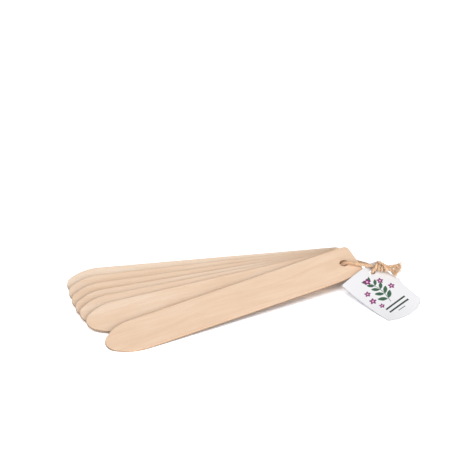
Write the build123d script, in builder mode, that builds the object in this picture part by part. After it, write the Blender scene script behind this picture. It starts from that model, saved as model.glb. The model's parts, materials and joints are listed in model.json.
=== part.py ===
"""A bundle of wooden plant label stakes, fanned on a jute twine that also carries a card hang tag.

Units are millimetres. The origin is the middle of the bottom stake's underside. +X runs along that stake
to its drilled end, -Y is the side to which the tips fan out, and +Z is up. The bundle lies rolled to its
front, so that the top stake's tip reaches the table on which the bottom stake's front edge rests.
"""
from build123d import *
import math
import os

os.makedirs("parts", exist_ok=True)

# Stakes
stake_length = 200.0
stake_width = 30.0
stake_thickness = 1.5
stake_gap = 0.06
top_stake_lift = 0.5
edge_softening = 0.3
end_corner_radius = 3.8
tip_nose_radius = 9.0
tip_half_angle = 36.0
hole_diameter = 6.5
hole_from_end = 10.0

# The share of the tip's slanted side, past its nose, that the shoulder's arc takes
tip_shoulder_share = 0.8412

# Turn of each stake about its hole, in degrees, and the place of each hole in shares of the hole's
# diameter, along and across the bottom stake. The holes step sideways, as the twine slants through them.
stake_turns = [0.0, 2.2, 4.4, 6.5, 8.4, 11.0, 18.7]
hole_place_shares = [
    (0.0, 0.0), (-0.015, -0.423), (0.046, -0.831), (0.185, -1.215), (0.385, -1.508), (0.677, -1.708),
    (1.277, -1.815),
]

# Twine
twine_diameter = 2.0
core_diameter = 1.5
knot_diameter = 5.5
knot_length = 6.4
knot_end_diameter = 3.6

# Hang tag, its edges measured in plan
tag_width = 34.0
tag_side_length = 45.5
tag_arch_height = 6.0
tag_thickness = 0.4
tag_corner_radius = 0.8
tag_hole_diameter = 4.5
tag_hole_from_top = 6.5
tag_hole_from_side = 9.0
tag_heading = -52.0
tag_corner_back = 19.1
tag_corner_ahead = 10.9
tag_left_below_stake = 2.15
tag_right_above_stake = 1.15
tag_crown = 1.2
tag_floor_clearance = 0.03
tag_left_sag = 1.8
tag_right_bulge = 0.9

cut_overrun = 5.0

# The stakes' own outline, seen from the hole
tip_x = hole_from_end - stake_length
end_x = hole_from_end
half_width = stake_width / 2
half_angle = math.radians(tip_half_angle)
apex_x = tip_x - (tip_nose_radius / math.sin(half_angle) - tip_nose_radius)
shoulder_x = apex_x + half_width / math.tan(half_angle)
slanted_side = half_width / math.sin(half_angle) - tip_nose_radius / math.tan(half_angle)
tip_shoulder_radius = tip_shoulder_share * slanted_side / math.tan(half_angle / 2)

# The bed, the tilted plane in which the stakes lie, and the height of each stake's underside above it
bottom_hole_x = stake_length / 2 - hole_from_end
stake_levels = [
    index * (stake_thickness + stake_gap) + (top_stake_lift if index == len(stake_turns) - 1 else 0)
    for index in range(len(stake_turns))
]
hole_places = [(along * hole_diameter, across * hole_diameter) for along, across in hole_place_shares]
top_turn = math.radians(stake_turns[-1])
shoulder_centre_x = shoulder_x + tip_shoulder_radius * math.tan(half_angle / 2)
shoulder_centre_y = tip_shoulder_radius - half_width
tip_reach = (
    tip_shoulder_radius
    - hole_places[-1][1]
    - shoulder_centre_x * math.sin(top_turn)
    - shoulder_centre_y * math.cos(top_turn)
)
bed_tilt = math.atan2(stake_levels[-1], tip_reach - half_width)
bed = Plane(
    origin=(0, 0, 0),
    x_dir=(1, 0, 0),
    z_dir=(0, -math.sin(bed_tilt), math.cos(bed_tilt)),
)
floor_z = -half_width * math.sin(bed_tilt)


def stake_plane(index):
    """The plane of one stake's underside, with its origin at the hole and +x towards the drilled end."""
    along, across = hole_places[index]
    turn = math.radians(stake_turns[index])
    return Plane(
        origin=bed.from_local_coords((bottom_hole_x + along, across, stake_levels[index])),
        x_dir=bed.x_dir * math.cos(turn) + bed.y_dir * math.sin(turn),
        z_dir=bed.z_dir,
    )


def make_stake(index):
    """One blade: square drilled end, straight sides, tapered tip with a round nose, softened edges."""
    with BuildPart() as stake:
        with BuildSketch(stake_plane(index)):
            with BuildLine():
                Polyline(
                    (end_x, -half_width),
                    (end_x, half_width),
                    (shoulder_x, half_width),
                    (apex_x, 0),
                    (shoulder_x, -half_width),
                    close=True,
                )
            make_face()
            fillet(vertices().group_by(Axis.X)[-1], end_corner_radius)
            fillet(vertices().group_by(Axis.X)[1], tip_shoulder_radius)
            fillet(vertices().sort_by(Axis.X)[0], tip_nose_radius)
            Circle(hole_diameter / 2, mode=Mode.SUBTRACT)
        extrude(amount=stake_thickness)
        flats = faces().sort_by(Axis((0, 0, 0), bed.z_dir))
        fillet(flats[0].outer_wire().edges() + flats[-1].outer_wire().edges(), edge_softening)
    stake.part.label = f"stake_{index + 1}"
    return stake.part


# Routes of the twine, from the bottom stake's hole at its underside, +X along that stake and +Z up
core_route = [
    (0.0, 0.53, 0.18), (0.0, -0.56, 0.67), (-0.1, -3.16, 1.86), (0.3, -5.92, 3.04), (1.2, -8.62, 4.21),
    (2.5, -10.73, 5.47), (4.9, -12.25, 6.81), (6.3, -12.70, 7.78), (7.7, -13.15, 8.76),
]
upper_route = [
    (7.7, -13.15, 8.76), (9.1, -13.6, 9.74), (11.7, -14.9, 10.95), (17.0, -17.5, 10.7), (24.6, -20.3, 10.6),
    (31.8, -22.9, 10.6),
]
lower_route = [
    (0.0, 0.53, 0.18), (0.0, 2.82, -0.85), (1.7, 4.8, -1.12), (5.0, 6.2, -1.14), (9.6, 5.6, -1.15),
    (14.8, 4.0, -1.13), (20.4, 1.6, -1.1), (25.6, -2.6, -0.5), (29.4, -8.2, 0.9), (31.0, -14.8, 1.5),
    (30.4, -20.6, 1.8), (27.9, -24.3, 3.8), (27.2, -24.8, 7.2), (27.3, -25.1, 10.0), (29.3, -25.6, 11.3),
    (31.6, -25.1, 11.0),
]
long_tail_route = [(36.2, -23.6, 10.9), (39.4, -22.9, 10.7), (44.0, -21.9, 9.4), (48.3, -20.8, 7.7)]
short_tail_route = [(35.8, -25.2, 10.0), (38.4, -26.2, 9.6), (41.6, -27.6, 8.4), (44.2, -29.0, 6.9)]
knot_centre = (33.9, -23.8, 10.6)
knot_heading = -20.0

# Half of a run goes to the arc at each of its ends, less a little, so that two arcs never meet
arc_run_share = 0.45


def route_radii(points):
    """The radius at each corner, as large as the two runs that meet there allow."""
    radii = []
    for before, here, after in zip(points, points[1:], points[2:]):
        run_in = Vector(*here) - Vector(*before)
        run_out = Vector(*after) - Vector(*here)
        half_turn = math.radians(run_in.get_angle(run_out)) / 2
        radii.append(arc_run_share * min(run_in.length, run_out.length) / math.tan(half_turn))
    return radii


def make_cord(name, route, diameter):
    """A round cord along a route of straight runs joined by tangent arcs."""
    points = [(bottom_hole_x + x, y, z) for x, y, z in route]
    radii = route_radii(points)
    with BuildPart() as cord:
        with BuildLine():
            path = FilletPolyline(*points, radius=radii)
        with BuildSketch(Plane(origin=path @ 0, z_dir=path % 0)):
            Circle(diameter / 2)
        sweep(path=path)
    section = math.pi * diameter**2 / 4
    print(
        f"{name}: length {path.length:.2f}, volume over section times length "
        f"{cord.part.volume / (section * path.length):.4f}, radii {[round(radius, 1) for radius in radii]}"
    )
    cord.part.label = name
    return cord.part


def make_knot():
    """The knot that holds the two ends together: a barrel along the upper strand, rounded to its ends."""
    heading = math.radians(knot_heading)
    along = Vector(math.cos(heading), math.sin(heading), 0)
    centre = Vector(bottom_hole_x + knot_centre[0], knot_centre[1], knot_centre[2])
    half_length = knot_length / 2
    with BuildPart() as knot:
        with BuildSketch(Plane(origin=centre, x_dir=along, z_dir=(-along.Y, along.X, 0))):
            with BuildLine():
                Polyline(
                    (half_length, knot_end_diameter / 2), (half_length, 0), (-half_length, 0),
                    (-half_length, knot_end_diameter / 2),
                )
                ThreePointArc(
                    (-half_length, knot_end_diameter / 2),
                    (0, knot_diameter / 2),
                    (half_length, knot_end_diameter / 2),
                )
            make_face()
        revolve(axis=Axis(centre, along))
    knot.part.label = "twine_knot"
    return knot.part


# The tag's frame in plan: its upper left corner, its length direction and its width direction
tag_direction = math.radians(tag_heading)
tag_along = Vector(math.cos(tag_direction), math.sin(tag_direction), 0)
tag_across = Vector(-math.sin(tag_direction), math.cos(tag_direction), 0)
top_stake_plane = stake_plane(len(stake_turns) - 1)
front_corner = top_stake_plane.from_local_coords((end_x, -half_width, stake_thickness))
tag_corner = Vector(front_corner.X - tag_corner_back, front_corner.Y - tag_corner_ahead, 0)
tag_length = tag_side_length + tag_arch_height
tag_floor = floor_z + tag_floor_clearance
tag_sections = [
    (0, front_corner.Z - tag_left_below_stake - tag_thickness / 2, -tag_left_sag),
    (
        tag_width / 2,
        front_corner.Z + (tag_right_above_stake - tag_left_below_stake - tag_thickness) / 2 + tag_crown,
        (tag_right_bulge - tag_left_sag) / 2,
    ),
    (tag_width, front_corner.Z + tag_right_above_stake - tag_thickness / 2, tag_right_bulge),
]


def make_tag():
    """The card: it lies over the top stake's front corner and curves down to the table at its arched end."""
    with BuildPart() as tag:
        for across, top_z, bulge in tag_sections:
            middle_z = (top_z + tag_floor) / 2 + bulge
            section_origin = tag_corner + tag_across * across
            with BuildSketch(Plane(origin=section_origin, x_dir=tag_along, z_dir=-tag_across)):
                with BuildLine():
                    ThreePointArc((0, top_z), (tag_length / 2, middle_z), (tag_length, tag_floor))
                    Line((tag_length, tag_floor), (tag_length, tag_floor + tag_thickness))
                    ThreePointArc(
                        (tag_length, tag_floor + tag_thickness),
                        (tag_length / 2, middle_z + tag_thickness),
                        (0, top_z + tag_thickness),
                    )
                    Line((0, top_z + tag_thickness), (0, top_z))
                make_face()
        loft()
        outline_origin = tag_corner + Vector(0, 0, floor_z - cut_overrun)
        with BuildSketch(Plane(origin=outline_origin, x_dir=tag_along)):
            with BuildLine():
                Polyline((tag_side_length, 0), (0, 0), (0, tag_width), (tag_side_length, tag_width))
                ThreePointArc((tag_side_length, tag_width), (tag_length, tag_width / 2), (tag_side_length, 0))
            make_face()
            fillet(vertices().group_by(Axis.X)[0], tag_corner_radius)
            with Locations((tag_hole_from_top, tag_width - tag_hole_from_side)):
                Circle(tag_hole_diameter / 2, mode=Mode.SUBTRACT)
        extrude(amount=front_corner.Z - floor_z + 2 * cut_overrun, mode=Mode.INTERSECT)
    tag.part.label = "hang_tag"
    return tag.part


for number in range(len(stake_turns)):
    export_step(make_stake(number), f"parts/stake_{number + 1}.step")

cords = {
    "twine_core": (core_route, core_diameter),
    "twine_upper": (upper_route, twine_diameter),
    "twine_lower": (lower_route, twine_diameter),
    "tail_long": (long_tail_route, twine_diameter),
    "tail_short": (short_tail_route, twine_diameter),
}
for cord_name, (cord_route, cord_diameter) in cords.items():
    export_step(make_cord(cord_name, cord_route, cord_diameter), f"parts/{cord_name}.step")

export_step(make_knot(), "parts/twine_knot.step")
export_step(make_tag(), "parts/hang_tag.step")

print(f"bed tilt {math.degrees(bed_tilt):.3f} degrees, table at {floor_z:.3f}")
print("hinge places " + ", ".join(str(stake_plane(number).origin) for number in range(len(stake_turns))))
print(f"tag corner {tag_corner}, front corner of the top stake {front_corner}")
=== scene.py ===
"""Dresses a bundle of wooden plant label stakes: birch blades, jute twine and a card hang tag.

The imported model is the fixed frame. The stakes and the tag keep its solids and get their finishes
here, and the twine is laid from twisted yarns along the same routes. Lengths are metres unless a
docstring says millimetres, and +Z is up.
"""
from __future__ import annotations

import json
import logging
import math
import random
from dataclasses import dataclass, field
from enum import Enum
from typing import Any, Callable, Iterable, Mapping, Sequence, Union

import bpy
from mathutils import Euler, Matrix, Vector

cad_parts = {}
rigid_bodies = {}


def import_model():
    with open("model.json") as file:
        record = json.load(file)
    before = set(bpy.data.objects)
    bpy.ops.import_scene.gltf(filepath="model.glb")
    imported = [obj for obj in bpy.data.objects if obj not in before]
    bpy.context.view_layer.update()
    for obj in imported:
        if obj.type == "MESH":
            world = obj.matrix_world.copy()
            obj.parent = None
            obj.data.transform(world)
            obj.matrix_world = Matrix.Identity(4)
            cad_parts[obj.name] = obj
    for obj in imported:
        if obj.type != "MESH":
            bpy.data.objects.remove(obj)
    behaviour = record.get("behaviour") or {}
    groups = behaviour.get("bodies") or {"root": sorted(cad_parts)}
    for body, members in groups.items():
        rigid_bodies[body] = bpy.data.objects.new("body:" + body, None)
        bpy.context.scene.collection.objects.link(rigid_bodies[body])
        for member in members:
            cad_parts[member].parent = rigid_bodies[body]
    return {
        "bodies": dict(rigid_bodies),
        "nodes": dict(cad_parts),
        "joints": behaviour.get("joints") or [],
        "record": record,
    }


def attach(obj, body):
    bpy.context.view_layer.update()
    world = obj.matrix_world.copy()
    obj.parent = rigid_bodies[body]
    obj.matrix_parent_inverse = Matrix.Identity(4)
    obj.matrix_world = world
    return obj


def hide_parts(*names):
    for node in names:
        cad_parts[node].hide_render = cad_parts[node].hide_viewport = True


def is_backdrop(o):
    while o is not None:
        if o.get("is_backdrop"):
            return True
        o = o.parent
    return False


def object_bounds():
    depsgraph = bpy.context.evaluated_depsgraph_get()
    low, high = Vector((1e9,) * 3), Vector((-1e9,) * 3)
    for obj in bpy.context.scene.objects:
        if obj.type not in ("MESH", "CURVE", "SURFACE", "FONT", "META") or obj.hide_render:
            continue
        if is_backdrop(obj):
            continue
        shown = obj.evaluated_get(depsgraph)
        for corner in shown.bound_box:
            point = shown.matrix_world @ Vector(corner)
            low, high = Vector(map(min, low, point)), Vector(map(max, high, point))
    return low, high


LOG = logging.getLogger("stake_bundle")
MM = 0.001
YARN_MAP = "yarn"
SEED_STEP = 10

Colour = tuple[float, float, float]
Point = tuple[float, float, float]
Number = Union["Signal", float]

BOTTOM_HOLE: Point = (0.09, 0.0, 0.0)


class Body(Enum):
    """The body of the frame that new pieces ride on."""

    BUNDLE = "bundle"


class Slot(Enum):
    """The record's material slots."""

    WOOD = "wood"
    TWINE = "twine"
    CARD = "card"


@dataclass(eq=False)
class Signal:
    """One output socket of a node, on which arithmetic adds Math nodes to the same graph."""

    graph: NodeGraph
    socket: bpy.types.NodeSocket

    def beside(self, output: int | str) -> Signal:
        """Another output of the same node."""
        return Signal(self.graph, self.socket.node.outputs[output])

    def math(self, operation: str, *values: Number, clamp: bool = False) -> Signal:
        """A Math node's result on some values, held between 0 and 1 with clamp."""
        return self.graph.node("ShaderNodeMath", values, operation=operation, use_clamp=clamp)

    def __add__(self, other: Number) -> Signal:
        """The sum."""
        return self.math("ADD", self, other)

    __radd__ = __add__

    def __sub__(self, other: Number) -> Signal:
        """The difference."""
        return self.math("SUBTRACT", self, other)

    def __rsub__(self, other: Number) -> Signal:
        """The difference, the other way round."""
        return self.math("SUBTRACT", other, self)

    def __mul__(self, other: Number) -> Signal:
        """The product."""
        return self.math("MULTIPLY", self, other)

    __rmul__ = __mul__

    def __truediv__(self, other: Number) -> Signal:
        """The quotient."""
        return self.math("DIVIDE", self, other)

    def __abs__(self) -> Signal:
        """The size without its sign."""
        return self.math("ABSOLUTE", self)

    def sine(self) -> Signal:
        """The sine."""
        return self.math("SINE", self)

    def cosine(self) -> Signal:
        """The cosine."""
        return self.math("COSINE", self)

    def root(self) -> Signal:
        """The square root."""
        return self.math("SQRT", self)

    def clamped(self) -> Signal:
        """The value held between 0 and 1."""
        return self.math("ADD", self, 0.0, clamp=True)

    def larger(self, other: Number) -> Signal:
        """The larger of the two."""
        return self.math("MAXIMUM", self, other)

    def swing(self, reach: float) -> Signal:
        """A noise about 0.5, moved to lie about 0 and scaled."""
        return (self - 0.5) * reach


def union(shapes: Iterable[Signal]) -> Signal:
    """The largest of some masks at each place.

    Args:
        shapes: The masks, at least one.

    Returns:
        The mask of every place that one of them covers.
    """
    whole, *others = shapes
    for shape in others:
        whole = whole.larger(shape)
    return whole


class NodeGraph:
    """A node tree in which one call adds a node with its settings and inputs."""

    def __init__(self, tree: bpy.types.NodeTree) -> None:
        """Takes the tree that the nodes join."""
        self.nodes = tree.nodes
        self.links = tree.links

    def node(
        self,
        kind: str,
        values: Mapping[Any, Any] | Sequence[Any] = (),
        output: int | str = 0,
        **settings: Any,
    ) -> Signal:
        """Adds a node.

        Args:
            kind: The node's type.
            values: Numbers, colours or signals for its inputs, in order or by name or index.
            output: Which output to return.
            settings: Its properties, set first. The name stops sets a colour ramp's stops.

        Returns:
            That output.
        """
        made = self.nodes.new(kind)
        for name, value in settings.items():
            if name == "stops":
                self._set_stops(made.color_ramp, value)
            else:
                setattr(made, name, value)
        pairs = values.items() if isinstance(values, Mapping) else enumerate(values)
        for key, value in pairs:
            self.feed(made.inputs[key], value)
        return Signal(self, made.outputs[output])

    @staticmethod
    def _set_stops(ramp: bpy.types.ColorRamp, stops: Sequence[tuple[float, Colour]]) -> None:
        """Gives a colour ramp its stops.

        Args:
            ramp: The ramp, with its two first stops.
            stops: Place and colour of each stop.
        """
        for _ in range(len(stops) - len(ramp.elements)):
            ramp.elements.new(1.0)
        for element, (place, colour) in zip(ramp.elements, stops):
            element.position = place
            element.color = (*colour, 1.0)

    def feed(self, socket: bpy.types.NodeSocket, value: Any) -> None:
        """Links a signal to an input socket, or sets the socket's own value.

        Args:
            socket: The input socket.
            value: A signal, a number, a colour or a vector.
        """
        if isinstance(value, Signal):
            self.links.new(value.socket, socket)
        elif socket.type == "RGBA" and len(value) == 3:
            socket.default_value = (*value, 1.0)
        else:
            socket.default_value = value

    def split(self, vector: Signal) -> tuple[Signal, Signal, Signal]:
        """The three parts of a vector."""
        first = self.node("ShaderNodeSeparateXYZ", [vector])
        return first, first.beside(1), first.beside(2)

    def joined(self, *parts: Number) -> Signal:
        """A vector from its three parts."""
        return self.node("ShaderNodeCombineXYZ", parts)


@dataclass(frozen=True)
class Grain:
    """A noise: its cells for each unit along each axis, its finer layers and their strength.

    The last three are its weights in the finish's tint, height and roughness.
    """

    stretch: Point
    detail: float = 2.0
    rough: float = 0.5
    tint: float = 0.0
    height: float = 0.0
    dulling: float = 0.0


class ShaderTree(NodeGraph):
    """A material's node tree with one Principled shader."""

    def __init__(self, name: str) -> None:
        """Makes the material with an empty Principled shader.

        Args:
            name: The material's name.
        """
        self.material = bpy.data.materials.new(name)
        self.material.use_nodes = True
        super().__init__(self.material.node_tree)
        self.shader = self.nodes["Principled BSDF"]

    def finish(self, **values: Any) -> bpy.types.Material:
        """Feeds the Principled shader.

        Args:
            values: Its sockets' values, each named as the socket with _ for a space.

        Returns:
            The material.
        """
        for name, value in values.items():
            self.feed(self.shader.inputs[name.replace("_", " ")], value)
        return self.material

    def place(self, origin: Vector, turn: Euler) -> Signal:
        """The place on the piece in a frame of its own, in millimetres.

        Args:
            origin: That frame's origin, in the row frame.
            turn: That frame's turn from the row frame.

        Returns:
            The vector.
        """
        place = self.node("ShaderNodeTexCoord", output="Object")
        mapped = {"Vector": place, "Location": origin, "Rotation": turn, "Scale": (MM, MM, MM)}
        return self.node("ShaderNodeMapping", mapped, vector_type="TEXTURE")

    def noise(self, vector: Signal, grain: Grain) -> Signal:
        """Soft noise on a vector.

        Args:
            vector: The place.
            grain: The noise's cells and layers.

        Returns:
            The noise, about 0.5 in the middle.
        """
        scaled = self.node("ShaderNodeVectorMath", [vector, grain.stretch], operation="MULTIPLY")
        values = {"Vector": scaled, "Scale": 1.0, "Detail": grain.detail, "Roughness": grain.rough}
        return self.node("ShaderNodeTexNoise", values)

    def mix(self, share: Number, first: Any, second: Any, blend: str = "MIX") -> Signal:
        """A mix of two colours.

        Args:
            share: The second colour's share.
            first: The first colour.
            second: The second colour.
            blend: The way they mix.

        Returns:
            The colour.
        """
        values = {0: share, 6: first, 7: second}
        return self.node("ShaderNodeMix", values, output=2, data_type="RGBA", blend_type=blend)

    def ramp(self, factor: Signal, stops: Sequence[tuple[float, Colour]]) -> Signal:
        """A colour from a ramp with the given stops, each a place and a colour."""
        return self.node("ShaderNodeValToRGB", [factor], stops=stops)

    def bump(self, height: Signal, distance: float) -> Signal:
        """A normal from a height, which is a share of the distance."""
        values = {"Strength": 1.0, "Distance": distance, "Height": height}
        return self.node("ShaderNodeBump", values)


@dataclass(frozen=True)
class BirchFinish:
    """Sanded pale birch: soft figure, fine fibre lines and short dark flecks, with painted shade on
    the cut sides and a band of painted shade and sanded tone along the top face's long edges.
    """

    pale: Colour = (0.945, 0.765, 0.610)
    middle: Colour = (0.845, 0.615, 0.440)
    middle_stop: float = 0.45
    dark: Colour = (0.700, 0.460, 0.300)
    board_step: Point = (400.0, 70.0, 13.0)
    sway: Grain = Grain((0.011, 0.02, 0.02), 1.0)
    sway_reach: float = 26.0
    depth_stretch: float = 2.5
    figure: Grain = Grain((0.012, 0.16, 0.1))
    figure_bands: float = 16.38
    band_drift: float = 0.126
    band_weight: float = 0.15
    fibre: Grain = Grain((0.06, 3.1, 1.5), 4.0, 0.62, tint=0.65, height=0.7, dulling=0.16)
    hairline: Grain = Grain((0.10, 9.0, 4.0), tint=0.35, height=0.5)
    cloud: Grain = Grain((0.018, 0.06, 0.06), tint=0.50)
    fleck: Grain = Grain((0.42, 4.6, 2.0), 1.0, tint=0.32, height=0.6, dulling=0.08)
    fleck_start: float = 0.63
    fleck_gain: float = 7.0
    height: float = 0.00004
    shade: float = 0.24
    tone_shade: float = 0.30
    # A band along the long edges of the top face, from this many millimetres off the middle:
    # painted shade of the rounded edges, and a sanded edge tone.
    rim_shade_start: float = 13.7
    rim_shade_share: float = 0.22
    # Painted shade: the cut sides are multiplied by this darker tone.
    side_shade_tone: Colour = (0.84, 0.79, 0.74)
    side_limit: float = 0.6
    side_gain: float = 4.0
    side_shade_share: float = 0.75
    side_fibre: float = 0.5
    roughness: float = 0.62
    specular: float = 0.3

    def material(
        self, name: str, origin: Vector, turn: Euler, tone: float, seed: float
    ) -> bpy.types.Material:
        """The finish on one blade.

        Args:
            name: The material's name.
            origin: The middle of the blade's hole.
            turn: The blade's turn, with X along it.
            tone: How far this blade's shade lies from the pale one, 1 for a full step darker.
            seed: Which stretch of wood it was cut from.

        Returns:
            The material.
        """
        tree = ShaderTree(name)
        along, across, depth = tree.split(tree.place(origin, turn))
        off_along, off_across, off_depth = (step * seed for step in self.board_step)
        place = tree.joined(along + off_along, across + off_across, depth + off_depth)
        swayed = across + self.sway_reach * tree.noise(place, self.sway) + off_across
        grain_place = tree.joined(along + off_along, swayed, depth * self.depth_stretch)
        figure = tree.noise(grain_place, self.figure)
        bands = 0.5 + 0.5 * (figure * self.figure_bands + across * self.band_drift).sine()
        fibres = tree.noise(grain_place, self.fibre)
        hairlines = tree.noise(grain_place, self.hairline)
        fleck_noise = tree.noise(grain_place, self.fleck)
        flecks = ((fleck_noise - self.fleck_start) * self.fleck_gain).clamped()
        figure_share = (
            bands * self.band_weight
            + fibres.swing(self.fibre.tint)
            + tree.noise(place, self.cloud).swing(self.cloud.tint)
            + hairlines.swing(self.hairline.tint)
        )
        tint = tree.ramp(
            (figure_share + self.shade + self.tone_shade * tone).clamped(),
            [(0.0, self.pale), (self.middle_stop, self.middle), (1.0, self.dark)],
        )
        # Painted shade, partly sanded tone: the top face darkens towards its long edges, mixed in
        # with the dark flecks.
        rim_shade = (abs(across) - self.rim_shade_start).clamped() * self.rim_shade_share
        flecked_and_rim_shaded = tree.mix((flecks * self.fleck.tint).larger(rim_shade), tint, self.dark)
        normal = tree.node("ShaderNodeTexCoord", output="Normal")
        up = Vector((0.0, 0.0, 1.0))
        up.rotate(turn)
        facing = tree.node("ShaderNodeVectorMath", [normal, up], "Value", operation="DOT_PRODUCT")
        # Painted shade on the cut sides: faces that stand near upright on the blade get the darker
        # side tone, with fibres through it.
        side = ((self.side_limit - abs(facing)) * self.side_gain).clamped()
        side_shade_share = side * (self.side_shade_share + self.side_fibre * fibres)
        lines = fibres * self.fibre.height + hairlines * self.hairline.height
        dulled = self.roughness + fibres.swing(self.fibre.dulling) + self.fleck.dulling * flecks
        return tree.finish(
            Base_Color=tree.mix(side_shade_share, flecked_and_rim_shaded, self.side_shade_tone, "MULTIPLY"),
            Roughness=dulled,
            Normal=tree.bump(lines - flecks * self.fleck.height, self.height),
            Specular_IOR_Level=self.specular,
        )


@dataclass(frozen=True)
class JuteFinish:
    """Natural jute: fibres that run round each yarn in its own twist, pale with brown between."""

    deep: Colour = (0.500, 0.290, 0.155)
    middle: Colour = (0.810, 0.550, 0.355)
    pale: Colour = (0.940, 0.725, 0.520)
    yarn_stops: Point = (0.12, 0.45, 0.85)
    fibre_stops: tuple[float, float] = (0.3, 0.7)
    turns_per_mm: float = 0.10
    grain: Grain = Grain((4.2, 4.2, 0.35), 4.0, 0.65, tint=1.5, dulling=0.1)
    grain_offset: float = 0.3
    patches: Grain = Grain((0.5, 0.5, 0.28), tint=0.7)
    fibre_tones: Grain = Grain((700.0, 700.0, 700.0), 1.0)
    height: float = 0.00010
    roughness: float = 0.85
    specular: float = 0.2
    sheen: float = 0.25

    def yarn(self) -> bpy.types.Material:
        """The finish of a yarn, which reads the yarn's own UV map.

        Returns:
            The material. The map holds the millimetres along the yarn and the turns round it.
        """
        tree = ShaderTree("jute_yarn")
        along, turns, _ = tree.split(tree.node("ShaderNodeUVMap", uv_map=YARN_MAP))
        angle = (turns + along * self.turns_per_mm) * math.tau
        place = tree.joined(angle.cosine(), angle.sine(), along)
        fibres = tree.noise(place, self.grain)
        patches = tree.noise(place, self.patches)
        shade = fibres * self.grain.tint - self.grain_offset + patches.swing(self.patches.tint)
        tints = (self.deep, self.middle, self.pale)
        return tree.finish(
            Base_Color=tree.ramp(shade.clamped(), list(zip(self.yarn_stops, tints))),
            Roughness=self.roughness + fibres.swing(self.grain.dulling),
            Normal=tree.bump(fibres, self.height),
            Specular_IOR_Level=self.specular,
            Sheen_Weight=self.sheen,
        )

    def fibre(self) -> bpy.types.Material:
        """The finish of the single fibres that stand off the twine.

        Returns:
            The material.
        """
        tree = ShaderTree("jute_fibre")
        place = tree.node("ShaderNodeTexCoord", output="Object")
        tone = tree.noise(place, self.fibre_tones)
        tint = tree.ramp(tone, list(zip(self.fibre_stops, (self.middle, self.pale))))
        return tree.finish(
            Base_Color=tint, Roughness=self.roughness, Specular_IOR_Level=self.specular
        )


@dataclass(frozen=True)
class Leaf:
    """One printed leaf, with its place and half sizes in millimetres in the tag's frame."""

    along: float
    across: float
    heading: float
    half_length: float
    half_width: float


@dataclass(frozen=True)
class Blossom:
    """One printed blossom, with its place and radius in millimetres in the tag's frame."""

    along: float
    across: float
    radius: float


@dataclass(frozen=True)
class Rule:
    """One printed rule across the tag: its middle line, half width and two ends, in millimetres."""

    along: float
    half_width: float
    left: float
    right: float


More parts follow.
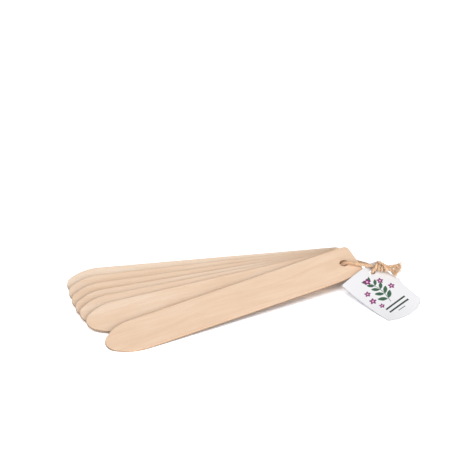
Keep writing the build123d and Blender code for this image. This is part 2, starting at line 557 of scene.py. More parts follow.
@dataclass(frozen=True)
class CardFinish:
    """White card with a printed sprig, small blossoms, three plain rules and painted shade on its
    cut sides, in millimetres.
    """

    white: Colour = (0.785, 0.780, 0.802)
    worn: Colour = (0.740, 0.730, 0.700)
    # Painted shade: the grey of the card's cut sides.
    cut_edge_shade: Colour = (0.560, 0.560, 0.580)
    leaf_green: Colour = (0.010, 0.055, 0.028)
    leaf_light: Colour = (0.030, 0.120, 0.055)
    blossom: Colour = (0.190, 0.010, 0.125)
    blossom_heart: Colour = (0.72, 0.40, 0.58)
    ink: Colour = (0.010, 0.026, 0.020)
    paper: Grain = Grain((2.5, 2.5, 2.5), 4.0, tint=0.12, dulling=0.1)
    height: float = 0.00002
    wear_start: float = 0.35
    coverage: float = 0.985
    coverage_swing: float = 0.03
    greens: Grain = Grain((0.5, 0.5, 0.1))
    wobble: Grain = Grain((1.6, 1.6, 0.2))
    wobble_reach: float = 0.5
    edge: float = 0.12
    top_start: float = 0.5
    top_gain: float = 8.0
    cut_limit: float = 0.6
    cut_gain: float = 4.0
    roughness: float = 0.55
    specular: float = 0.35
    stem_across: float = 15.5
    stem_start: float = 11.0
    stem_end: float = 33.0
    stem_tail: float = 1.0
    stem_bend: float = 2.2
    stem_half_width: float = 0.28
    leaf_pairs: int = 5
    leaf_start: float = 2.0
    leaf_stop: float = 3.0
    leaf_half: float = 3.9
    leaf_shrink: float = 1.2
    leaf_slim: float = 0.42
    leaf_gap: float = 1.1
    leaf_lean: float = 52.0
    leaf_lean_less: float = 10.0
    petals: int = 5
    petal_base: float = 0.8
    petal_wave: float = 0.2
    heart_share: float = 0.3
    blossoms: tuple[Blossom, ...] = (
        Blossom(10.4, 15.5, 3.0), Blossom(18.0, 7.9, 2.5), Blossom(15.6, 23.3, 2.6),
        Blossom(25.0, 6.1, 2.8), Blossom(24.2, 26.1, 2.6), Blossom(32.4, 7.7, 2.2),
    )
    rules: tuple[Rule, ...] = (
        Rule(37.0, 0.75, 7.0, 26.5), Rule(40.6, 0.75, 7.0, 26.5), Rule(43.6, 0.35, 13.0, 20.0),
    )

    def leaves(self) -> list[Leaf]:
        """The leaves in pairs along the stem, which grow shorter to its tip.

        Returns:
            The leaves.
        """
        found = []
        reach = self.stem_end - self.stem_start - self.leaf_stop
        for index in range(self.leaf_pairs):
            share = index / (self.leaf_pairs - 1)
            along = self.stem_end - self.leaf_start - share * reach
            size = self.leaf_half - self.leaf_shrink * share
            for side in (-1, 1):
                lean = 180.0 - side * (self.leaf_lean - self.leaf_lean_less * share)
                angle = math.radians(lean)
                off = size * self.leaf_gap
                across = self.stem_across + self.bend(along) + math.sin(angle) * off
                found.append(
                    Leaf(along + math.cos(angle) * off, across, lean, size, size * self.leaf_slim)
                )
        return found

    def bend(self, along: float) -> float:
        """How far the stem stands aside at a place along the tag."""
        share = (along - self.stem_start) / (self.stem_end - self.stem_start)
        return self.stem_bend * math.sin(math.pi * share)

    def soft(self, room: Signal) -> Signal:
        """A mask with a soft edge, from the distance inside a shape's outline."""
        return (room / self.edge).clamped()

    def within(self, value: Signal, low: float, high: float) -> Signal:
        """The mask of the values between two limits, with a soft edge."""
        return self.soft(value - low) * self.soft(high - value)

    def leaf_mask(self, along: Signal, across: Signal, leaf: Leaf) -> Signal:
        """Where a pointed leaf is.

        Args:
            along: The place along the tag.
            across: The place across the tag.
            leaf: The leaf.

        Returns:
            1 inside the leaf, 0 outside.
        """
        cosine = math.cos(math.radians(leaf.heading))
        sine = math.sin(math.radians(leaf.heading))
        off_along = along - leaf.along
        off_across = across - leaf.across
        lengthwise = (off_along * cosine + off_across * sine) / leaf.half_length
        sideways = abs(off_across * cosine - off_along * sine)
        return self.soft(leaf.half_width * (1.0 - lengthwise * lengthwise) - sideways)

    def blossom_masks(
        self, along: Signal, across: Signal, blossom: Blossom
    ) -> tuple[Signal, Signal]:
        """Where a blossom's petals and its heart are.

        Args:
            along: The place along the tag.
            across: The place across the tag.
            blossom: The blossom.

        Returns:
            The two masks, 1 inside and 0 outside.
        """
        off_along = along - blossom.along
        off_across = across - blossom.across
        distance = (off_along * off_along + off_across * off_across).root()
        angle = off_along.math("ARCTAN2", off_across, off_along)
        lobes = self.petal_base + self.petal_wave * (angle * float(self.petals)).cosine()
        heart = self.heart_share * blossom.radius
        return self.soft(blossom.radius * lobes - distance), self.soft(heart - distance)

    def rule_mask(self, along: Signal, across: Signal, rule: Rule) -> Signal:
        """Where a rule is, 1 inside and 0 outside."""
        line = self.soft(rule.half_width - abs(along - rule.along))
        return line * self.within(across, rule.left, rule.right)

    def green_mask(self, along: Signal, across: Signal, wobble: Signal) -> Signal:
        """Where the stem and the leaves are.

        Args:
            along: The place along the tag.
            across: The place across the tag.
            wobble: How far the printed outlines waver.

        Returns:
            1 inside the sprig, 0 outside.
        """
        run = ((along - self.stem_start) / (self.stem_end - self.stem_start)).clamped()
        line = self.stem_across + self.stem_bend * (run * math.pi).sine()
        stem = self.soft(self.stem_half_width - abs(across - wobble - line))
        span = self.within(along, self.stem_start, self.stem_end + self.stem_tail)
        leaves = [self.leaf_mask(along + wobble, across - wobble, leaf) for leaf in self.leaves()]
        return union([stem * span, *leaves])

    def material(self, origin: Vector, heading: float) -> bpy.types.Material:
        """The finish on the tag.

        Args:
            origin: The tag's upper left corner.
            heading: The heading of the tag's length, in radians.

        Returns:
            The material.
        """
        tree = ShaderTree("printed_card")
        place = tree.place(origin, Euler((0.0, 0.0, heading)))
        along, across, _ = tree.split(place)
        wobble = tree.noise(place, self.wobble).swing(self.wobble_reach)
        greens = self.green_mask(along, across, wobble)
        blossoms = [self.blossom_masks(along, across, blossom) for blossom in self.blossoms]
        petals, hearts = (union(masks) for masks in zip(*blossoms))
        rules = union(self.rule_mask(along, across, rule) for rule in self.rules)
        paper = tree.noise(place, self.paper)
        green = tree.mix(tree.noise(place, self.greens), self.leaf_green, self.leaf_light)
        rise = tree.split(tree.node("ShaderNodeTexCoord", output="Normal"))[2]
        top = ((rise - self.top_start) * self.top_gain).clamped()
        # Painted shade: the cut sides, which stand near upright, turn grey.
        cut = ((self.cut_limit - abs(rise)) * self.cut_gain).clamped()
        inked = (self.coverage + paper.swing(self.coverage_swing)) * top
        tint = tree.mix((paper - self.wear_start) * self.paper.tint, self.white, self.worn)
        tint = tree.mix(cut, tint, self.cut_edge_shade)
        tint = tree.mix(greens * inked, tint, green)
        tint = tree.mix(petals * inked, tint, self.blossom)
        tint = tree.mix(hearts * top, tint, self.blossom_heart)
        tint = tree.mix(rules * inked, tint, self.ink)
        return tree.finish(
            Base_Color=tint,
            Roughness=self.roughness + paper.swing(self.paper.dulling),
            Normal=tree.bump(paper, self.height),
            Specular_IOR_Level=self.specular,
        )


def put_in_scene(name: str, data: bpy.types.ID) -> bpy.types.Object:
    """Makes an object and links it to the scene.

    Args:
        name: The object's name.
        data: Its mesh, camera or light.

    Returns:
        The object, at the origin.
    """
    made = bpy.data.objects.new(name, data)
    bpy.context.scene.collection.objects.link(made)
    return made


def dress_node(node: bpy.types.Object, material: bpy.types.Material) -> None:
    """Puts a finish on a node of the frame.

    Args:
        node: The node's object.
        material: The finish.
    """
    if not node.material_slots:
        node.data.materials.append(material)
    for slot in node.material_slots:
        slot.material = material


def spline_points(route: Sequence[Point], resolution: int = 24) -> list[Vector]:
    """Points along the smooth line of a route.

    Args:
        route: The control points, in the row frame.
        resolution: How many points each span gets.

    Returns:
        The points.
    """
    curve = bpy.data.curves.new("route", "CURVE")
    curve.dimensions = "3D"
    curve.resolution_u = resolution
    spline = curve.splines.new("NURBS")
    spline.points.add(len(route) - 1)
    for point, place in zip(spline.points, route):
        point.co = (*place, 1.0)
    spline.order_u = 3
    spline.use_endpoint_u = True
    holder = bpy.data.objects.new("route", curve)
    mesh = bpy.data.meshes.new_from_object(holder)
    points = [vertex.co.copy() for vertex in mesh.vertices]
    bpy.data.objects.remove(holder)
    bpy.data.curves.remove(curve)
    bpy.data.meshes.remove(mesh)
    return points


def distances_along(points: Sequence[Vector]) -> list[float]:
    """How far along a line each of its points is.

    Args:
        points: The line.

    Returns:
        The distances, the first 0 and the last the line's length.
    """
    distances = [0.0]
    for before, after in zip(points, points[1:]):
        distances.append(distances[-1] + (after - before).length)
    return distances


def line_length(points: Sequence[Vector]) -> float:
    """The length of a line of points."""
    return distances_along(points)[-1]


def spaced(points: Sequence[Vector], step: float) -> list[Vector]:
    """The same line with points about one step apart.

    Args:
        points: The line.
        step: The distance.

    Returns:
        The points.
    """
    lengths = distances_along(points)
    count = max(2, math.ceil(lengths[-1] / step))
    found = []
    index = 0
    for number in range(count + 1):
        target = lengths[-1] * number / count
        while index < len(points) - 2 and lengths[index + 1] < target:
            index += 1
        span = lengths[index + 1] - lengths[index]
        share = (target - lengths[index]) / span if span else 0.0
        found.append(points[index].lerp(points[index + 1], min(1.0, share)))
    return found


def frames_along(points: Sequence[Vector]) -> list[tuple[Vector, Vector]]:
    """Two directions square to the line at each of its points, which never spin round it.

    Args:
        points: The line.

    Returns:
        The pair of directions at each point.
    """
    last = len(points) - 1
    tangents = [
        (points[min(index + 1, last)] - points[max(index - 1, 0)]).normalized()
        for index in range(last + 1)
    ]
    side = tangents[0].orthogonal().normalized()
    found = []
    for before, here in zip([tangents[0]] + tangents, tangents):
        side = before.rotation_difference(here) @ side
        side = (side - here * side.dot(here)).normalized()
        found.append((side, here.cross(side)))
    return found


def on_circle(centre: Vector, axes: tuple[Vector, Vector], radius: float, angle: float) -> Vector:
    """The point at an angle on the circle round a centre, in the plane of two axes."""
    return centre + axes[0] * (radius * math.cos(angle)) + axes[1] * (radius * math.sin(angle))


def smooth_wander(seed: int, size: float, waves: Sequence[float]) -> Callable[[float], float]:
    """A smooth wandering value.

    Args:
        seed: Which wander.
        size: How far it goes.
        waves: The wave lengths that it is made of.

    Returns:
        The value at a distance along a line.
    """
    chance = random.Random(seed)
    parts = [
        (math.tau / wave, chance.uniform(0, math.tau), chance.uniform(0.5, 1.0)) for wave in waves
    ]

    def value(distance: float) -> float:
        """The wander at a distance."""
        total = sum(height * math.sin(rate * distance + start) for rate, start, height in parts)
        return size * total / len(parts)

    return value


class MeshMaker:
    """Gathers tubes into one mesh with a UV map."""

    def __init__(self) -> None:
        """Starts an empty mesh."""
        self.places: list[Vector] = []
        self.faces: list[tuple[int, ...]] = []
        self.turns: list[tuple[tuple[float, float], ...]] = []

    def tube(self, line: Sequence[Vector], radius: Callable[[float], float], sides: int) -> None:
        """Adds a closed round tube.

        Args:
            line: The line down its middle.
            radius: Its radius at a distance along it.
            sides: How many sides it has.
        """
        first = len(self.places)
        distances = distances_along(line)
        for centre, axes, distance in zip(line, frames_along(line), distances):
            reach = radius(distance)
            for number in range(sides):
                self.places.append(on_circle(centre, axes, reach, math.tau * number / sides))
        marks = [distance / MM for distance in distances]
        for ring, (low, high) in enumerate(zip(marks, marks[1:])):
            for number in range(sides):
                here = first + ring * sides + number
                beside = first + ring * sides + (number + 1) % sides
                self.faces.append((here, beside, beside + sides, here + sides))
                left, right = number / sides, (number + 1) / sides
                self.turns.append(((low, left), (low, right), (high, right), (high, left)))
        for ring, order in ((0, -1), (len(line) - 1, 1)):
            numbers = range(sides)[::order]
            self.faces.append(tuple(first + ring * sides + number for number in numbers))
            self.turns.append(tuple((marks[ring], number / sides) for number in numbers))

    def object(self, name: str, material: bpy.types.Material) -> bpy.types.Object:
        """The gathered mesh as an object.

        Args:
            name: The object's name.
            material: Its finish.

        Returns:
            The object, at the origin.
        """
        mesh = bpy.data.meshes.new(name)
        mesh.from_pydata(self.places, [], self.faces)
        layer = mesh.uv_layers.new(name=YARN_MAP)
        for face, turns in zip(mesh.polygons, self.turns):
            face.use_smooth = True
            for loop, turn in zip(face.loop_indices, turns):
                layer.data[loop].uv = turn
        mesh.materials.append(material)
        return put_in_scene(name, mesh)


@dataclass
class FibreTree:
    """A Geometry Nodes tree that grows short bent fibres on a surface."""

    sides: int = 3
    bend_steps: int = 4
    bend_middle: Point = (0.0, 0.12, 0.55)
    bend_tip: Point = (0.45, 0.25, 0.85)
    smallest: float = 0.35
    largest: float = 1.25
    bend_up: float = 0.2
    tree: bpy.types.NodeTree = field(init=False)

    def __post_init__(self) -> None:
        """Builds the tree with its named inputs."""
        self.tree = bpy.data.node_groups.new("stray_fibres", "GeometryNodeTree")
        face = self.tree.interface
        names = ("Geometry", "Density", "Length", "Thickness", "Lean", "Floor", "Seed", "Material")
        kinds = {"Geometry": "Geometry", "Seed": "Int", "Material": "Material"}
        for name in names:
            kind = f"NodeSocket{kinds.get(name, 'Float')}"
            face.new_socket(name, in_out="INPUT", socket_type=kind)
        face.new_socket("Geometry", in_out="OUTPUT", socket_type="NodeSocketGeometry")
        self._wire(NodeGraph(self.tree))

    def _wire(self, graph: NodeGraph) -> None:
        """Places and links the tree's nodes.

        Args:
            graph: The empty tree.
        """
        surface = graph.node("NodeGroupInput", output="Geometry")
        length, lean, floor, seed = map(surface.beside, ("Length", "Lean", "Floor", "Seed"))
        points = graph.node(
            "GeometryNodeDistributePointsOnFaces",
            {"Mesh": surface, "Density": surface.beside("Density"), "Seed": seed},
        )
        middle, tip = (
            graph.node("ShaderNodeVectorMath", {0: bend, "Scale": length}, operation="SCALE")
            for bend in (self.bend_middle, self.bend_tip)
        )
        line = graph.node(
            "GeometryNodeCurveQuadraticBezier",
            {"Resolution": self.bend_steps, "Start": (0.0, 0.0, 0.0), "Middle": middle, "End": tip},
        )
        ring = graph.node(
            "GeometryNodeCurvePrimitiveCircle",
            {"Resolution": self.sides, "Radius": surface.beside("Thickness")},
        )
        fibre = graph.node(
            "GeometryNodeCurveToMesh", {"Curve": line, "Profile Curve": ring, "Fill Caps": True}
        )
        back = lean * -1.0
        least, most = graph.joined(back, back, -math.pi), graph.joined(lean, lean, math.pi)
        angles = graph.node(
            "FunctionNodeRandomValue",
            {"Min": least, "Max": most, "Seed": seed},
            data_type="FLOAT_VECTOR",
        )
        turned = graph.node(
            "FunctionNodeRotateRotation",
            [points.beside("Rotation"), graph.node("FunctionNodeEulerToRotation", [angles])],
            rotation_space="LOCAL",
        )
        size = graph.node(
            "FunctionNodeRandomValue",
            {2: self.smallest, 3: self.largest, "Seed": seed},
            output=1,
            data_type="FLOAT",
        )
        placed = graph.node(
            "GeometryNodeInstanceOnPoints",
            {"Points": points, "Instance": fibre, "Rotation": turned, "Scale": size},
        )
        real = graph.node("GeometryNodeRealizeInstances", [placed])
        x, y, z = graph.split(graph.node("GeometryNodeInputPosition"))
        above = graph.joined(x, y, z.larger((floor - z) * self.bend_up + floor))
        lifted = graph.node("GeometryNodeSetPosition", {"Geometry": real, "Position": above})
        dressed = graph.node(
            "GeometryNodeSetMaterial",
            {"Geometry": lifted, "Material": surface.beside("Material")},
        )
        graph.feed(graph.nodes.new("NodeGroupOutput").inputs[0], dressed)

    def grow(self, name: str, base: bpy.types.Mesh, **values: Any) -> bpy.types.Object:
        """Grows fibres on a surface.

        Args:
            name: The new piece's name.
            base: The surface.
            values: The tree's inputs by name.

        Returns:
            The fibres as a plain mesh, without the surface.
        """
        holder = put_in_scene(name, base)
        modifier = holder.modifiers.new("fibres", "NODES")
        modifier.node_group = self.tree
        items = self.tree.interface.items_tree
        sockets = {item.name: item.identifier for item in items if item.in_out == "INPUT"}
        for key, value in values.items():
            modifier[sockets[key]] = value
        graph = bpy.context.evaluated_depsgraph_get()
        mesh = bpy.data.meshes.new_from_object(holder.evaluated_get(graph))
        bpy.data.objects.remove(holder)
        mesh.name = name
        return put_in_scene(name, mesh)


@dataclass
class StakeFan:
    """The wooden blades, which keep the frame's solids, with their turns in degrees and tones."""

    turns: tuple[float, ...] = (0.0, 2.2, 4.4, 6.5, 8.4, 11.0, 18.7)
    # Partly painted light: stake_1 is made much paler, and stake_5 and stake_6 a little paler, to
    # offset the shade that the low front lamp casts on them; the rest is each blade's own tone.
    tones: tuple[float, ...] = (-0.75, 0.05, 0.30, 0.10, 0.12, 0.12, 0.55)
    finish: BirchFinish = field(default_factory=BirchFinish)

    def bed_tilt(self, joints: Iterable[Mapping[str, Any]]) -> float:
        """The tilt in radians of the plane in which the blades lie, from the frame's joints."""
        axis = next(joint["axis"] for joint in joints if joint["name"] == "stake_2_turn")
        return math.atan2(-axis[1], axis[2])

    def dress(self, frame: Mapping[str, Any]) -> None:
        """Gives each blade its own piece of birch.

        Args:
            frame: The loaded frame.
        """
        tilt = Matrix.Rotation(self.bed_tilt(frame["joints"]), 3, "X")
        origins = {joint["name"]: joint["pos_m"] for joint in frame["joints"]}
        for number, (turn, tone) in enumerate(zip(self.turns, self.tones), start=1):
            name = f"stake_{number}"
            origin = Vector(origins.get(f"{name}_turn", BOTTOM_HOLE))
            heading = (tilt @ Matrix.Rotation(math.radians(turn), 3, "Z")).to_euler()
            finish = self.finish.material(f"birch_{number}", origin, heading, tone, float(number))
            dress_node(frame["nodes"][name], finish)
            LOG.info("%s dressed", name)


@dataclass(frozen=True)
class FreeStrand:
    """A strand with a cut end: its route from the bottom stake's hole and what it stands for."""

    name: str
    route: Sequence[Point]
    nodes: tuple[str, ...]
    seed: int
    fullness: float
    lay: str


@dataclass
class TwineTie:
    """The jute twine: the run through the holes, two strands, their knot and the frayed tails.

    Routes are points from the bottom stake's hole. The knot's run is given round the knot's own
    axis: how far along it, the angle in degrees and the distance from it.
    """

    floor_height: float
    diameter: float = 0.0020
    core_diameter: float = 0.0015
    core_flare: float = 0.0018
    yarns: int = 3
    lay: float = 0.0078
    yarn_sides: int = 10
    step: float = 0.0003
    packing: float = 0.94
    overlap: float = 1.10
    wander: float = 0.14
    wander_waves: tuple[float, ...] = (0.0031, 0.0073, 0.0127)
    fuzz_density: float = 1.5e6
    fuzz_length: float = 0.0019
    fuzz_thickness: float = 0.00003
    fuzz_lean: float = 1.25
    fray_back: float = 0.0062
    fray_share: float = 0.55
    fray_rim: int = 12
    fray_length: float = 0.0074
    fray_thickness: float = 0.00006
    fray_density: float = 5.5e7
    fray_lean: float = 0.13
    fray_lowest: float = 0.0061
    end_span: int = 3
    splay_length: float = 0.0095
    splay: float = 0.0007
    splay_power: float = 1.5
    end_swelling: float = 0.45
    upper_fullness: float = 1.18
    lower_fullness: float = 1.07
    knot_centre: Point = (0.0339, -0.0238, 0.0106)
    knot_heading: float = -20.0
    wrap_radius: float = 0.0021
    wrap_pitch: float = 0.0023
    wrap_turns: float = 2.5
    wrap_start: float = -0.0040
    wrap_first_angle: float = -30.0
    wrap_points: int = 12
    knot_run: tuple[Point, ...] = (
        (0.0022, 170.0, 0.0022), (0.0029, 230.0, 0.0022), (0.0034, 290.0, 0.0022),
        (0.0038, 350.0, 0.0023), (0.0036, 35.0, 0.0030), (0.0024, 68.0, 0.0038),
        (0.0008, 80.0, 0.0041), (-0.0010, 90.0, 0.0041), (-0.0028, 104.0, 0.0037),
        (-0.0040, 135.0, 0.0029), (-0.0040, 175.0, 0.0028), (-0.0026, 200.0, 0.0031),
        (-0.0004, 205.0, 0.0033), (0.0020, 196.0, 0.0031),
    )
    core_route: tuple[Point, ...] = (
        (0.0, 0.00053, 0.00018), (0.0, -0.00056, 0.00067), (-0.0001, -0.00316, 0.00186),
        (0.0003, -0.00592, 0.00304), (0.0012, -0.00862, 0.00421), (0.0025, -0.01073, 0.00547),
        (0.0049, -0.01225, 0.00681), (0.0063, -0.01270, 0.00778), (0.0077, -0.01315, 0.00876),
    )
    upper_route: tuple[Point, ...] = (
        (0.0077, -0.01315, 0.00876), (0.0091, -0.0136, 0.00980), (0.0117, -0.0149, 0.01115),
        (0.0170, -0.0175, 0.01088), (0.0246, -0.0203, 0.0107), (0.0318, -0.0229, 0.0106),
        (0.0339, -0.0238, 0.0106), (0.0360, -0.0246, 0.0106), (0.0384, -0.0256, 0.0103),
        (0.0414, -0.0271, 0.0094), (0.0445, -0.0288, 0.0078),
    )
    lower_start: tuple[Point, ...] = (
        (0.0, 0.00053, 0.00018), (0.0, 0.00282, -0.00085), (0.0017, 0.0048, -0.00112),
        (0.0050, 0.0062, -0.00114), (0.0096, 0.0056, -0.00115), (0.0148, 0.0040, -0.00113),
        (0.0204, 0.0016, -0.0011), (0.0256, -0.0026, -0.0005), (0.0294, -0.0082, 0.0009),
        (0.0310, -0.0148, 0.0015), (0.0304, -0.0206, 0.0018), (0.0279, -0.0243, 0.0038),
        (0.0272, -0.0248, 0.0072), (0.0273, -0.0251, 0.0100),
    )
    lower_end: tuple[Point, ...] = (
        (0.0390, -0.0232, 0.0103), (0.0416, -0.0230, 0.0102), (0.0446, -0.0228, 0.0096),
        (0.0478, -0.0222, 0.0082),
    )
    finish: JuteFinish = field(default_factory=JuteFinish)
    yarn: bpy.types.Material = field(init=False)
    fibre: bpy.types.Material = field(init=False)
    tree: FibreTree = field(init=False)

    def __post_init__(self) -> None:
        """Makes the two finishes and the tree that grows fibres."""
        self.yarn, self.fibre = self.finish.yarn(), self.finish.fibre()
        self.tree = FibreTree()

    @staticmethod
    def line(route: Iterable[Point]) -> list[Vector]:
        """The smooth line of a route, in the row frame."""
        return spline_points([tuple(Vector(point) + Vector(BOTTOM_HOLE)) for point in route])

    def round_knot(self, along: float, angle: float, radius: float) -> Point:
        """A place on or in the knot.

        Args:
            along: How far along the knot's axis it is from the knot's middle.
            angle: Its angle round that axis in degrees, 0 in front and 90 on top.
            radius: Its distance from that axis.

        Returns:
            The place, from the bottom stake's hole.
        """
        heading = math.radians(self.knot_heading)
        axis = Vector((math.cos(heading), math.sin(heading), 0.0))
        front = Vector((math.sin(heading), -math.cos(heading), 0.0))
        axes = (front, Vector((0.0, 0.0, 1.0)))
        centre = Vector(self.knot_centre) + axis * along
        return tuple(on_circle(centre, axes, radius, math.radians(angle)))

    def knot_route(self) -> list[Point]:
        """The lower strand's turns round the upper one and its run back over them.

        Returns:
            The route's points.
        """
        found = []
        for index in range(round(self.wrap_turns * self.wrap_points)):
            turns = index / self.wrap_points
            along = self.wrap_start + self.wrap_pitch * turns
            angle = self.wrap_first_angle + 360.0 * turns
            found.append(self.round_knot(along, angle, self.wrap_radius))
        return found + [self.round_knot(*place) for place in self.knot_run]

    def looseness(self, left: float) -> float:
        """How loose the yarns are at a distance before the cut end, from 0 to 1 at the end."""
        return max(0.0, 1.0 - left / self.splay_length)

    def strand(
        self,
        name: str,
        line: Sequence[Vector],
        diameter: Callable[[float], float],
        seed: int,
        splay: float = 0.0,
    ) -> bpy.types.Object:
        """Lays the yarns of a strand round its line.

        Args:
            name: The piece's name.
            line: The line down the strand's middle.
            diameter: The strand's diameter at a distance along it.
            seed: Which unevenness the yarns have.
            splay: How far the yarns part at the far end.

        Returns:
            The piece.
        """
        middle = spaced(line, self.step)
        distances = distances_along(middle)
        frames = frames_along(middle)
        spread = math.sin(math.pi / self.yarns)
        ratio = 1.0 + 1.0 / spread
        maker = MeshMaker()
        for number in range(self.yarns):
            wander = smooth_wander(seed * SEED_STEP + number, self.wander, self.wander_waves)
            yarn = []
            reaches = []
            for centre, axes, distance in zip(middle, frames, distances):
                angle = math.tau * (distance / self.lay + number / self.yarns)
                thin = diameter(distance) / 2 / ratio
                loose = self.looseness(distances[-1] - distance)
                offset = thin / spread * self.packing + splay * loose ** self.splay_power
                yarn.append(on_circle(centre, axes, offset, angle))
                reaches.append(thin * (self.overlap + wander(distance)))
            length, last = line_length(yarn), len(reaches) - 1
            maker.tube(
                yarn,
                lambda place: reaches[min(last, round(place / length * last))],
                self.yarn_sides,
            )
        return maker.object(name, self.yarn)

    def fray(self, name: str, line: Sequence[Vector], seed: int) -> bpy.types.Object:
        """The loose fibres at a cut end.

        Args:
            name: The piece's name.
            line: The line of the strand, whose last point is the end.
            seed: Which fibres.

        Returns:
            The fibres.
        """
        ahead = (line[-1] - line[-1 - self.end_span]).normalized()
        side = ahead.orthogonal().normalized()
        axes = (side, ahead.cross(side))
        centre = line[-1] - ahead * self.fray_back
        reach = self.diameter * self.fray_share
        angles = [math.tau * index / self.fray_rim for index in range(self.fray_rim)]
        places = [on_circle(centre, axes, reach, angle) for angle in angles]
        base = bpy.data.meshes.new(name)
        base.from_pydata(places, [], [tuple(range(self.fray_rim))])
        return self.tree.grow(
            name, base, Seed=seed, Material=self.fibre, Density=self.fray_density,
            Length=self.fray_length, Thickness=self.fray_thickness, Lean=self.fray_lean,
            Floor=self.fray_lowest,
        )

    def core(self) -> None:
        """Lays the run through the holes, squeezed thin between its two full ends."""
        line = self.line(self.core_route)
        whole = line_length(line)

        def width(distance: float) -> float:
            """The run's diameter at a distance along it."""
            share = max(0.0, 1.0 - min(distance, whole - distance) / self.core_flare)
            return self.core_diameter + (self.diameter - self.core_diameter) * share

        core = self.strand("core_strand", line, width, 1)
        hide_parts("twine_core")
        self.settle(core)

    def free_strand(self, strand: FreeStrand) -> None:
        """Args:
            strand: The strand.
        """
        name = strand.name
        line = self.line(strand.route)
        whole = line_length(line)

        def width(distance: float) -> float:
            """The strand's diameter, which swells towards the cut end."""
            swelling = self.end_swelling * self.looseness(whole - distance)
            return self.diameter * (strand.fullness + swelling)

        piece = self.strand(name, line, width, strand.seed, self.splay)
        fuzz = self.tree.grow(
            f"{name}_fuzz", piece.data.copy(), Seed=strand.seed, Material=self.fibre,
            Density=self.fuzz_density, Length=self.fuzz_length, Thickness=self.fuzz_thickness,
            Lean=self.fuzz_lean, Floor=self.floor_height,
        )
        fray = self.fray(f"{name}_fray", line, strand.seed + SEED_STEP)
        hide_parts(*strand.nodes)
        for part in (piece, fuzz, fray):
            self.settle(part)
        tuple(line[0])
        [tuple(point) for point in spaced(line, 2 * self.step)]
        LOG.info("%s is %.1f mm long", name, whole / MM)

    def build(self) -> None:
        """Builds every piece of the twine."""
        lower_route = [*self.lower_start, *self.knot_route(), *self.lower_end]
        self.core()
        for strand in (
            FreeStrand(
                "upper_strand", self.upper_route, ("twine_upper", "tail_short"), 2,
                self.upper_fullness, "taut",
            ),
            FreeStrand(
                "lower_strand", lower_route, ("twine_lower", "twine_knot", "tail_long"), 3,
                self.lower_fullness, "loose",
            ),
        ):
            self.free_strand(strand)

    @staticmethod
    def settle(piece: bpy.types.Object) -> None:
        """Puts a piece of twine on its body."""
        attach(piece, Body.BUNDLE.value)


@dataclass
class HangTag:
    """The card tag, which keeps the frame's solid, with its upper left corner and its heading."""

    corner: Point = (0.09348, -0.03514, 0.0)
    heading: float = -52.0
    finish: CardFinish = field(default_factory=CardFinish)

    def dress(self, frame: Mapping[str, Any]) -> None:
        """Prints the tag.

        Args:
            frame: The loaded frame.
        """
        node = frame["nodes"]["hang_tag"]
        dress_node(node, self.finish.material(Vector(self.corner), math.radians(self.heading)))
        LOG.info("hang_tag printed")


def direction(azimuth: float, elevation: float) -> Vector:
    """The direction from the object to a camera or a lamp.

    Args:
        azimuth: Its turn from the front, in degrees, to the right.
        elevation: Its height over the floor, in degrees.

    Returns:
        The direction, of length 1.
    """
    turn = math.radians(azimuth)
    rise = math.radians(elevation)
    level = math.cos(rise)
    return Vector((math.sin(turn) * level, -math.cos(turn) * level, math.sin(rise)))


def look_along(name: str, data: bpy.types.ID, place: Vector, back: Vector) -> bpy.types.Object:
    """Puts a camera or a lamp in its place, with its back to a direction.

    Args:
        name: The object's name.
        data: The camera or light.
        place: Where it stands.
        back: The direction behind it.

    Returns:
        The object.
    """
    made = put_in_scene(name, data)
    made.location = place
    made.rotation_mode = "QUATERNION"
    made.rotation_quaternion = (-back).to_track_quat("-Z", "Y")
    return made


@dataclass(frozen=True)
class Lamp:
    """A soft square lamp: its direction in degrees, side length, share of the light and reach."""

    name: str
    azimuth: float
    elevation: float
    size: float
    share: float
    lights_floor: bool = True


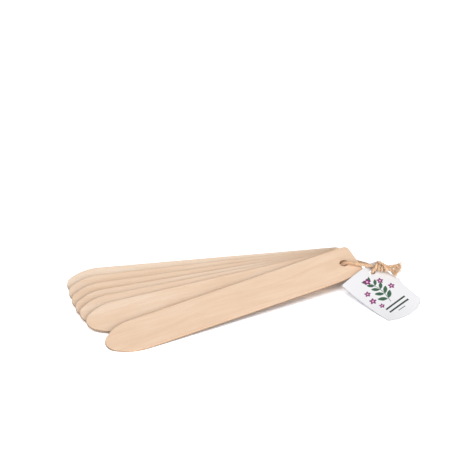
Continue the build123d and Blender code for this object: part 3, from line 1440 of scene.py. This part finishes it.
@dataclass
class Studio:
    """A white floor, a white surround, soft lamps and the photograph's view."""

    view_turn: float = -8.22
    view_rise: float = 36.5
    view_width: float = 0.33360
    aim_right: float = -0.06960
    aim_up: float = 0.02235
    distance: float = 9.0
    sensor: float = 36.0
    clip: float = 90.0
    floor_reach: float = 3.0
    floor_colour: Colour = (0.90, 0.90, 0.91)
    floor_seen: Colour = (2.65, 2.74, 2.88)
    floor_roughness: float = 0.9
    white: Colour = (1.0, 1.0, 1.0)
    ambient: float = 0.22
    lamp_distance: float = 1.6
    lamps: tuple[Lamp, ...] = (
        Lamp("low_front", 36.0, 18.0, 0.9, 0.29, lights_floor=False),
        Lamp("left_window", -95.0, 46.0, 0.7, 0.10),
        Lamp("overhead", 0.0, 80.0, 1.3, 0.395),
    )

    def camera(self) -> None:
        """Puts the camera at the photograph's place."""
        turn = math.radians(self.view_turn)
        back = direction(self.view_turn, self.view_rise)
        right = Vector((math.cos(turn), math.sin(turn), 0.0))
        target = Vector(BOTTOM_HOLE) + right * self.aim_right + back.cross(right) * self.aim_up
        data = bpy.data.cameras.new("camera")
        data.sensor_width = self.sensor
        data.lens = self.sensor * self.distance / self.view_width
        data.clip_end = self.clip
        place = target + back * self.distance
        bpy.context.scene.camera = look_along("camera", data, place, back)

    def hang(self, lamp: Lamp, floor: bpy.types.Object) -> None:
        """Hangs a lamp that faces the object and gives level surfaces its share of the light.

        Args:
            lamp: The lamp.
            floor: The floor, which some lamps leave out.
        """
        back = direction(lamp.azimuth, lamp.elevation)
        data = bpy.data.lights.new(lamp.name, "AREA")
        data.size = lamp.size
        data.energy = lamp.share * math.pi ** 2 * self.lamp_distance ** 2 / back.z
        made = look_along(lamp.name, data, back * self.lamp_distance, back)
        if not lamp.lights_floor:
            left_out = bpy.data.collections.new(f"{lamp.name}_leaves_out")
            left_out.objects.link(floor)
            left_out.collection_objects[0].light_linking.link_state = "EXCLUDE"
            made.light_linking.receiver_collection = left_out

    def surround(self) -> None:
        """Makes the world: even light on the object, plain white where it is seen or mirrored."""
        world = bpy.data.worlds.new("surround")
        world.use_nodes = True
        graph = NodeGraph(world.node_tree)
        camera = graph.node("ShaderNodeLightPath", output="Is Camera Ray")
        others = (camera.beside(f"Is {kind} Ray") for kind in ("Glossy", "Transmission"))
        background = graph.nodes["Background"].inputs
        graph.feed(background["Color"], self.white)
        strength = self.ambient + (1.0 - self.ambient) * union([camera, *others])
        graph.feed(background["Strength"], strength)
        bpy.context.scene.world = world

    def floor(self, height: float) -> bpy.types.Object:
        """Lays the floor.

        Args:
            height: The height of its top.

        Returns:
            The floor.
        """
        reach = self.floor_reach
        sides = ((-reach, -reach), (reach, -reach), (reach, reach), (-reach, reach))
        mesh = bpy.data.meshes.new("floor")
        mesh.from_pydata([(x, y, height) for x, y in sides], [], [(0, 1, 2, 3)])
        tree = ShaderTree("white_floor")
        seen = tree.node("ShaderNodeLightPath", output="Is Camera Ray")
        tint = tree.mix(seen, self.floor_colour, self.floor_seen)
        finish = tree.finish(
            Base_Color=tint, Roughness=self.floor_roughness, Specular_IOR_Level=0.0
        )
        mesh.materials.append(finish)
        floor = put_in_scene("floor", mesh)
        floor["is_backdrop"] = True
        return floor

    def build(self, floor_height: float) -> None:
        """Sets the whole studio.

        Args:
            floor_height: The height on which the object stands.
        """
        floor = self.floor(floor_height)
        self.surround()
        for lamp in self.lamps:
            self.hang(lamp, floor)
        self.camera()
        bpy.context.scene.view_settings.view_transform = "Standard"


def main() -> None:
    """Builds the dressed bundle in its studio."""
    logging.basicConfig(level=logging.INFO, format="%(name)s: %(message)s")
    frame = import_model()
    frame_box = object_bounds()
    StakeFan().dress(frame)
    TwineTie(frame_box[0].z).build()
    HangTag().dress(frame)
    Studio().build(frame_box[0].z)


if __name__ == "__main__":
    main()
